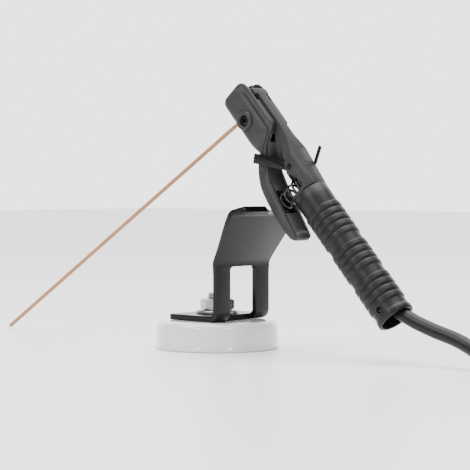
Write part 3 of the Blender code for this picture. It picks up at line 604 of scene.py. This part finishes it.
def leverSection(s):
    # one U-shaped ring: bulging wall, a valley, the rim flange, and the hollow between
    reach = max(0.0, min(5.0, abs(s - lever["fulcrum"]) * 0.35, (s - 100.5) * 0.4,
                         (229 - s) * 0.35))
    front, back = eased(lever["front"], s, reach), eased(lever["back"], s, min(reach, 2.2))
    half = eased(lever["half"], s, min(reach, 3.0))
    tall = back - front
    flangeHigh = min(eased(lever["flange"], s, min(reach, 3.0)), tall * 0.45)
    low = half - eased(lever["valley"], s, min(reach, 3.0))
    valley = back - flangeHigh - min(2.2, tall * 0.14)
    rimHalf = half - min(0.5, half - low)
    middle, rise = (front + valley) / 2, (valley - front) / 2
    square = keyed(lever["square"], s)
    line = []
    for k in range(13):
        angle = math.radians(-86 + k * 7.2)
        line.append((half * max(0.0, math.cos(angle)) ** square,
                     middle + rise * math.copysign(abs(math.sin(angle)) ** square,
                                                   math.sin(angle))))
    for k in range(1, 9):
        angle = math.radians(k * 11.25)
        line.append((low + (half - low) * math.cos(angle) ** 1.2,
                     middle + rise * math.sin(angle)))
    crest = min(0.9, flangeHigh * 0.3)
    line += [(low + 0.15, valley + 0.5 * crest), (rimHalf - 0.5, back - flangeHigh + 0.2),
             (rimHalf, back - flangeHigh + 0.9 * crest), (rimHalf, back - crest),
             (rimHalf - 0.3 * crest, back - 0.3 * crest), (rimHalf - crest, back)]
    hollow = min(keyed(lever["hollow"], s), rimHalf - crest - 0.3)
    if s < 170:
        floor = back - keyed(lever["depth"], s)
    else:
        floor = min(keyed(lever["trough"], s), back - 0.04)
    floor = max(floor, front + 1.4)
    deep = min(0.5, (back - floor) * 0.3)
    line += [(hollow + deep, back), (hollow, back - deep), (hollow, floor + deep),
             (hollow - 2 * deep, floor)]
    return [(s, y, n) for y, n in line] + [(s, -y, n) for y, n in reversed(line)]


stations = [100.5, 100.62, 100.8, 101.1, 101.5, 102, 102.7, 103.6, 104.6, 105.6, 106.0, 106.4,
            106.8, 108]
stations += [110 + 2.0 * k for k in range(7)] + [123.35, 124.05, 125]
stations += [127 + 2.0 * k for k in range(8)] + [142.35, 143.05, 144]
stations += [146 + 2.0 * k for k in range(6)]
stations += [157.5, 159, 160.5, 162, 163.5, 164.5, 165.4, 165.8, 166.2, 166.6, 167.2, 168,
             169, 170, 170.8, 171.4, 171.8, 172.3, 172.8, 173.4, 174, 174.7, 175.4, 176.1,
             176.8, 177.2, 177.55, 177.9, 178.4, 178.9, 179.4, 180, 180.6, 181.2, 182, 183,
             184, 185.5, 187, 189]
stations += [192 + 3.0 * k for k in range(11)]
stations += [223.5, 224.8, 225.8, 226.6, 227.3, 227.9, 228.4, 228.7, 228.9, 229.0]
leverPiece = makeObject("squeeze_lever", loft([leverSection(s) for s in stations]),
                        holderPlace, leverNylon, 0)
bossAlong, bossDeep = lever["boss"]
cutAway(leverPiece, block((206.9, -2.13, -40), (234, 2.07, -4.7)), holderPlace)
cutAway(leverPiece, block((206.7, -8.65, 7.63), (232, 8.63, 40)), holderPlace)
cutAway(leverPiece, bar((bossAlong, -11, bossDeep), (bossAlong, 11, bossDeep), 2.2, 32),
        holderPlace)
for side in (1, -1):
    spot = Matrix.Translation((bossAlong, 0, bossDeep)) @ Matrix.Diagonal((1, side, 1, 1))
    cutAway(leverPiece, spinProfile([(0, 7.0), (8.2, 7.0), (8.2, 9.4), (7.85, 9.9),
                                     (7.65, 10.6), (7.6, 11.6), (7.4, 12.2), (6.9, 12.6),
                                     (6.2, 12.75), (0, 12.75)], 64, (0, 1, 0)),
            holderPlace @ spot, "UNION")
    cutAway(leverPiece, spinProfile([(0, 8.4), (4.4, 8.4), (4.4, 12.1), (4.7, 12.5),
                                     (5.3, 13.0), (5.3, 14.5), (0, 14.5)], 64, (0, 1, 0)),
            holderPlace @ spot)
leverPiece.data.set_sharp_from_angle(angle=math.radians(42))
finishPiece(leverPiece, "lever", "grey_moulding", "lever")
print("lever done", len(leverPiece.data.polygons))

# ---------- holder: casing with its narrow arm ----------
casing = {"half": 12.8, "soft": 1.5}
casingBm = thicken(flatShape([
    (121.9, -11.4), (126, -11), (128, -5), (148, 3), (166, 8.6), (219, 8.6), (219, 15.2),
    (168, 15.2), (148, 12.6), (121.9, 12.6)], [0, 1.5, 4, 9, 6, 1.5, 2.5, 12, 12, 0], 8),
    -casing["half"], casing["half"])
casingPiece = makeObject("body_casing_shell", casingBm, holderPlace, bodyNylon)
casingPlan = thicken(flatShape([
    (118, -12.8), (148, -12.8), (160, -8.6), (170, -4.4), (212, -4.4), (212, -8),
    (219.5, -8), (219.5, 8), (212, 8), (212, 4.4), (170, 4.4), (160, 8.6), (148, 12.8),
    (118, 12.8)], [0, 8, 8, 8, 0.8, 0.8, 3, 3, 0.8, 0.8, 8, 8, 8, 0], 8, "XY"), -40, 40,
    (0, 0, 1))
cutAway(casingPiece, casingPlan, holderPlace, "INTERSECT")
casingRound = spinProfile([(0, 120.5), (14.0, 120.5), (14.9, 130), (16.2, 146), (17.4, 164),
                           (21.5, 178), (22.0, 232), (0, 232)], 96, (1, 0, 0))
cutAway(casingPiece, casingRound, holderPlace, "INTERSECT")
armWeb = thicken(flatShape([(146, 4), (150, -4), (160, -3), (168, 0), (175, 5), (181, 8.8),
                            (181, 10), (146, 10)], [0, 4, 6, 6, 4, 0, 0, 0], 6), -4.3, 4.3)
cutAway(casingPiece, armWeb, holderPlace, "UNION")
farSkirt = thicken(flatShape([(122.3, -13.0), (153, -13.2), (160, -10.8), (164, -5), (164, 4),
                              (122.3, 4)], [0, 3, 3, 2, 0, 0], 6), -12.3, -8.9)
cutAway(casingPiece, farSkirt, holderPlace, "UNION")
mergeSlivers(casingPiece)
softened = casingPiece.modifiers.new("soft", "BEVEL")
softened.width = casing["soft"] * mm
softened.segments = 4
softened.limit_method = "ANGLE"
softened.angle_limit = math.radians(38)
applyModifiers(casingPiece, 40)
yokeWay = Vector((144.0 - 173.4, 5.6 + 17.4)).normalized()
yokeSide = Vector((-yokeWay.y, yokeWay.x))


def legOutline(grow, reach):
    first, last = Vector((173.4, -17.4)), Vector((144.0, 5.6))
    first, last = first - yokeWay * grow, last + yokeWay * (3.6 + reach * 0.4)
    wide = yokeSide * (3.8 + grow)
    return flatShape([tuple(first + wide), tuple(first - wide), tuple(last - wide),
                      tuple(last + wide)], [0.4, 0.4, 3.0, 3.0], 8)


cutAway(casingPiece, block((100, -3.4, 7.0), (211, 3.4, 12.2)), holderPlace)
cutAway(casingPiece, block((100, -5.6, -5), (137, 5.6, 7.4)), holderPlace)
cutAway(casingPiece, bar((133, 0, -20), (133, 0, 3.4), 8.4, 64), holderPlace)
for middle in (10.5, -10.5):
    cutAway(casingPiece, thicken(legOutline(0.35, 0.4), middle - 1.25, middle + 1.25),
            holderPlace)
sideOpening = thicken(flatShape([(124.4, -14), (142.2, -14), (141.6, 0.5), (133, 5.6),
                                 (124.4, 7.6)], [0, 0, 2.5, 6, 3.5], 8), 6.5, 16)
cutAway(casingPiece, sideOpening, holderPlace)
cutAway(casingPiece, block((139.2, -11.8, 6.0), (144.0, -9.2, 20.0)), holderPlace)
cutAway(casingPiece, bar((144, -20, 5.6), (144, 20, 5.6), 2.3, 32), holderPlace)
finishPiece(casingPiece, "holder", "grey_moulding", "body_casing")
print("casing done", len(casingPiece.data.polygons))


# ---------- small metal parts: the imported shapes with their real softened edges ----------
def edged(nodeName, newName, mat, size, body, slot, sharpness=36):
    # a copy joined up from loose triangles, with its flat faces whole and edges rounded
    mesh = frame["nodes"][nodeName].data.copy()
    mesh.name = newName
    bm = bmesh.new()
    bm.from_mesh(mesh)
    bmesh.ops.remove_doubles(bm, verts=bm.verts, dist=0.000005)
    bmesh.ops.dissolve_limit(bm, angle_limit=math.radians(1.0), verts=bm.verts,
                             edges=bm.edges)
    bm.to_mesh(mesh)
    bm.free()
    mesh.materials.clear()
    mesh.materials.append(mat)
    made = bpy.data.objects.new(newName, mesh)
    bpy.context.scene.collection.objects.link(made)
    soft = made.modifiers.new("soft", "BEVEL")
    soft.width = size * mm
    soft.segments = 3
    soft.limit_method = "ANGLE"
    soft.angle_limit = math.radians(sharpness)
    applyModifiers(made, 40)
    return finishPiece(made, body, slot, nodeName)


for nodeName, newName, mat, size, body, slot in (
        ("conductor", "conductor_bar", castBrass, 0.35, "holder", "brass"),
        ("body_contact", "upper_contact", castBrass, 0.3, "holder", "brass"),
        ("cable_clamp", "cable_clamp_block", castBrass, 0.35, "holder", "brass"),
        ("yoke", "steel_yoke", blackedSteel, 0.42, "holder", "black_steel"),
        ("lever_contact", "lower_contact", castBrass, 0.3, "lever", "brass")):
    edged(nodeName, newName, mat, size, body, slot)

kept = {"ferrite_ring": sinteredFerrite, "pole_core": turnedSteel,
        "clamp_screw_1": zincPlate, "clamp_screw_2": zincPlate,
        "contact_screw_1": zincPlate, "contact_screw_2": zincPlate, "jaw_nut": zincPlate}
for name, mat in kept.items():
    mesh = frame["nodes"][name].data
    mesh.materials.clear()
    mesh.materials.append(mat)

pinLine = fillet([(0, -12.6), (1.7, -12.6), (2.0, -12.2), (2.0, 12.2), (1.7, 12.6),
                  (0, 12.6)], [0, 0.1, 0.1, 0.1, 0.1, 0], 3)
pinPiece = makeObject("yoke_rivet", spinProfile(pinLine, 40, (0, 1, 0)),
                      holderPlace @ Matrix.Translation((144.0, 0, 5.6)), blackedSteel, 30)
finishPiece(pinPiece, "holder", "black_steel", "yoke_pin")

jawLine = [(0, -10.6), (1.6, -10.6), (1.9, -10.2), (1.9, 8.8), (3.35, 8.8), (3.5, 9.0),
           (3.5, 10.7), (3.3, 11.1), (2.9, 11.3), (1.7, 11.3), (1.6, 11.1), (1.5, 10.0),
           (0, 9.9)]
jawPiece = makeObject("jaw_socket_screw", spinProfile(jawLine, 48, (0, 1, 0)),
                      holderPlace @ Matrix.Translation((bossAlong, 0, bossDeep)), blackedSteel,
                      30)
finishPiece(jawPiece, "lever", "black_steel", "jaw_screw")


# ---------- lever spring: a wound wire with closed end turns ----------
def sweptWire(points, radius, sides):
    # a round tube along the points, with turned rings that don't twist
    bm = bmesh.new()
    rings, across = [], Vector((0, 1, 0))
    for i, point in enumerate(points):
        way = (Vector(points[min(i + 1, len(points) - 1)])
               - Vector(points[max(i - 1, 0)])).normalized()
        if i == 0 and abs(way.dot(across)) > 0.9:
            across = Vector((0, 0, 1))
        across = (across - way * way.dot(across)).normalized()
        other = way.cross(across)
        rings.append([bm.verts.new(Vector(point) + (across * math.cos(a) + other * math.sin(a))
                                   * radius)
                      for a in (2 * math.pi * k / sides for k in range(sides))])
    for first, second in zip(rings, rings[1:]):
        for i in range(sides):
            j = (i + 1) % sides
            bm.faces.new((first[i], first[j], second[j], second[i]))
    bm.faces.new(list(reversed(rings[0])))
    bm.faces.new(rings[-1])
    bmesh.ops.recalc_face_normals(bm, faces=bm.faces)
    return bm


spring = {"at": 133.0, "radius": 6.0, "wire": 0.9, "turns": 7.0, "top": 2.0, "low": -27.6,
          "perTurn": 32}
closedShare = 1.9 / (spring["top"] - spring["low"])


def springFall(turn):
    # the first and last turns lie almost shut, and the rest is evenly open
    if turn < 1:
        return closedShare * turn
    if turn > spring["turns"] - 1:
        return 1 - closedShare * (spring["turns"] - turn)
    return closedShare + (1 - 2 * closedShare) * (turn - 1) / (spring["turns"] - 2)


springPoints = []
for i in range(int(spring["turns"] * spring["perTurn"]) + 1):
    turn = i / spring["perTurn"]
    angle = 2 * math.pi * turn
    springPoints.append((spring["at"] + spring["radius"] * math.cos(angle),
                         spring["radius"] * math.sin(angle),
                         spring["top"] + (spring["low"] - spring["top"]) * springFall(turn)))
springPiece = makeObject("wound_spring", sweptWire(springPoints, spring["wire"], 14),
                         holderPlace, springWire, 50)
finishPiece(springPiece, "holder", "spring_steel", "lever_spring")
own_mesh(springPiece)

# ---------- stick electrode ----------
rod = {"length": 350.0, "tip": (-255.0, 0.0, 1.9), "entry": (22.2, 0.0, 177.4)}
rodWay = Vector(rod["entry"]) - Vector(rod["tip"])
rodPlace = (Matrix.Scale(mm, 4) @ Matrix.Translation(rod["tip"])
            @ Vector((1, 0, 0)).rotation_difference(rodWay).to_matrix().to_4x4())
coreLine = [(0, 0), (0.85, 0.0), (1.0, 0.15), (1.0, 349.7), (0.8, 350.0), (0, 350.0)]
corePiece = makeObject("electrode_core_wire", spinProfile(coreLine, 24, (1, 0, 0)), rodPlace,
                       turnedSteel, 40)
finishPiece(corePiece, "holder", "plain_steel", "electrode_core")
coatLine = [(1.02, 0.8), (1.3, 0.7), (1.5, 1.0), (1.6, 2.4)]
coatLine += [(1.6, 2.4 + 3.0 * k) for k in range(1, 110)]
coatLine += [(1.6, 333.2), (1.35, 334.6), (1.02, 335.0), (1.02, 0.8)]
coatPiece = makeObject("electrode_flux_coating", spinProfile(coatLine, 28, (1, 0, 0)),
                       rodPlace, fluxCoating, 40)
finishPiece(coatPiece, "holder", "electrode_flux", "electrode_coating")
print("spring and electrode done")

# ---------- welding cable: one line from the grip to its plug ----------
cord = {"radius": 5.25, "centre": (337.0, 23.0), "outer": 69.4, "pitch": 10.7, "low": 5.6,
        "entry": -125.0, "leaving": 1882.0, "perTurn": 40}
cordRoute = [(128.17, 0, 86.9), (145.07, 0, 67.94), (163.11, 0, 49.19), (175.7, 0, 38.98),
             (189.4, 0, 32.6), (198, 0, 29.2), (212, 0, 24.8), (224, 0, 21.6),
             (234, -0.4, 18.4), (245, -2.4, 14.2), (255, -5.9, 10.9), (264.4, -10.9, 8.6),
             (272.6, -16.6, 7.1), (280.8, -22.4, 6.1), (289.0, -28.1, 5.7),
             (297.2, -33.85, 5.6)]


def smoothLine(points, spacing):
    # an even, curved line through the points
    points = [Vector(point) for point in points]
    padded = [2 * points[0] - points[1]] + points + [2 * points[-1] - points[-2]]
    line = []
    for a, b, c, d in zip(padded, padded[1:], padded[2:], padded[3:]):
        steps = max(2, round((c - b).length / spacing))
        for k in range(steps):
            t = k / steps
            line.append(0.5 * (2 * b + (c - a) * t + (2 * a - 5 * b + 4 * c - d) * t * t
                               + (3 * b - a - 3 * c + d) * t ** 3))
    return line + [points[-1]]


def stepped(angle, changes):
    # a value that eases by each change between its two angles
    total = 0.0
    for first, last, amount in changes:
        share = min(1.0, max(0.0, (angle - first) / (last - first)))
        total += amount * share * share * (3 - 2 * share)
    return total


inward = [(300, 360, -cord["pitch"]), (660, 720, -cord["pitch"]),
          (1260, 1320, cord["pitch"]), (1620, 1680, cord["pitch"])]
upward = [(960, 1020, cord["pitch"]), (1790, 1880, 11.2)]
coilPoints = []
coilCount = round(cord["leaving"] / 360 * cord["perTurn"])
for i in range(1, coilCount + 1):
    around = cord["leaving"] * i / coilCount
    wide = cord["outer"] + stepped(around, inward)
    angle = math.radians(around + cord["entry"])
    coilPoints.append(Vector((cord["centre"][0] + wide * math.cos(angle),
                              cord["centre"][1] + wide * math.sin(angle),
                              cord["low"] + stepped(around, upward))))
cordTail = {"middle": (357.0, 4.3), "radius": 42.0, "low": 27.5, "rise": 8.7}
tailPoints = []
for i in range(1, 17):  # the last turn crosses the coil and rises into the plug
    share = i / 16
    angle = math.radians(-43 + 133 * share)
    tailPoints.append(Vector((cordTail["middle"][0] + cordTail["radius"] * math.cos(angle),
                              cordTail["middle"][1] + cordTail["radius"] * math.sin(angle),
                              cordTail["low"] + cordTail["rise"] * share * share
                              * (3 - 2 * share))))
tailPoints += [tailPoints[-1] - Vector((4, 0, 0)), tailPoints[-1] - Vector((8, 0, 0))]
cordLine = smoothLine(cordRoute, 6.0) + coilPoints + tailPoints
cordPiece = makeObject("welding_cable", sweptWire(cordLine, cord["radius"], 28), standPlace,
                       cableRubber, 60)
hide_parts("cable", "cable_coil", "cable_tail")
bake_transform(cordPiece)

plug = {"end": (349.0, 46.3, 36.2), "radius": 14.0, "length": 68.0}
bootLine = [(5.3, 10.0), (5.3, 0.4), (6.4, -0.6), (6.7, -1.4)]
for k in range(5):  # a ribbed strain relief
    z = -2.6 - k * 3.6
    bootLine += [(6.7 + k * 0.55, z), (7.6 + k * 0.55, z - 0.7), (7.6 + k * 0.55, z - 1.9),
                 (6.9 + k * 0.55, z - 2.6)]
bootLine += [(11.0, -22.0), (12.6, -24.6), (13.6, -28.0), (14.0, -31.0), (14.0, -33.0)]
for k in range(6):  # finger grooves round the body
    z = -35.0 - k * 3.4
    bootLine += [(14.0, z), (13.2, z - 0.6), (13.2, z - 1.4), (14.0, z - 2.0)]
bootLine += [(14.0, -65.2), (13.5, -66.8), (12.2, -67.8), (9.2, -68.0), (8.3, -67.7),
             (8.0, -67.0), (8.0, -54.0), (0, -54.0)]
bootLine = [(0, 0.2), (5.2, 0.2)] + bootLine[2:]
bootPiece = makeObject("cable_plug_boot", spinProfile(bootLine, 72, (1, 0, 0)),
                       standPlace @ Matrix.Translation(plug["end"]), bootRubber, 40)
finishPiece(bootPiece, "bracket", "cable_rubber", "plug_boot")
contactLine = [(0, -54.4), (7.3, -54.4), (7.6, -54.8), (7.6, -69.6), (7.3, -70.0),
               (6.7, -70.2), (6.5, -71.0), (6.5, -87.6), (6.2, -88.8), (5.5, -90.0),
               (4.6, -90.0), (4.2, -89.4), (4.2, -86.0), (0, -86.0)]
plugPin = makeObject("cable_plug_pin", spinProfile(contactLine, 64, (1, 0, 0)),
                     standPlace @ Matrix.Translation(plug["end"]), castBrass, 40)
key = block((-84.0, -2.0, 5.5), (-76.0, 2.0, 7.5))
cutAway(plugPin, key, standPlace @ Matrix.Translation(plug["end"]), "UNION")
finishPiece(plugPin, "bracket", "brass", "plug_pin")
print("cable done")

# ---------- floor and soft studio light ----------
floorMat = startMaterial("pale studio floor", {
    "Base Color": hexColour("#f6f6f6"), "Roughness": 0.35})[0]
floorBm = bmesh.new()
bmesh.ops.create_grid(floorBm, x_segments=1, y_segments=1, size=6000)
floor = makeObject("floor", floorBm, standPlace, floorMat, 0)
floor.location.z = -0.0002

world = bpy.data.worlds.new("studio")
bpy.context.scene.world = world
world.use_nodes = True
skyTree = world.node_tree
sky = skyTree.nodes["Background"]
sky.inputs["Color"].default_value = (1, 1, 1, 1)
# a bright paper backdrop stands behind the object, and the rest of the studio is dimmer
direction = addNode(skyTree, "ShaderNodeTexCoord").outputs["Generated"]
facing = addNode(skyTree, "ShaderNodeVectorMath", {"operation": "DOT_PRODUCT",
                                                   1: (-0.677, 0.736, 0.0)}, {0: direction})
backdrop = addNode(skyTree, "ShaderNodeMapRange", {
    "interpolation_type": "SMOOTHSTEP", "From Min": 0.35, "From Max": 0.85, "To Min": 0.5,
    "To Max": 3.0}, {"Value": facing.outputs["Value"]})
skyTree.links.new(backdrop.outputs["Result"], sky.inputs["Strength"])


def softLight(name, place, target, size, power):
    data = bpy.data.lights.new(name, "AREA")
    data.shape = "DISK"
    data.size = size
    data.energy = power
    lamp = bpy.data.objects.new(name, data)
    bpy.context.scene.collection.objects.link(lamp)
    lamp.location = place
    lamp.rotation_euler = (Vector(target) - Vector(place)).to_track_quat("-Z", "Y").to_euler()


softLight("keyLight", (-0.5, -1.2, 1.3), (0.05, 0, 0.1), 0.7, 16)
softLight("topLight", (0.1, 0.3, 1.7), (0.05, 0, 0.1), 1.4, 20)
softLight("leftWindow", (0.15, -1.5, 0.75), (0.0, 0, 0.02), 0.22, 5)
softLight("rightWindow", (1.35, -0.6, 0.75), (0.0, 0, 0.02), 0.22, 5)
overheadData = bpy.data.lights.new("overheadBank", "SUN")
overheadData.energy = 3.4
overheadData.angle = math.radians(60)
overheadBank = bpy.data.objects.new("overheadBank", overheadData)
bpy.context.scene.collection.objects.link(overheadBank)

print("scene ready")
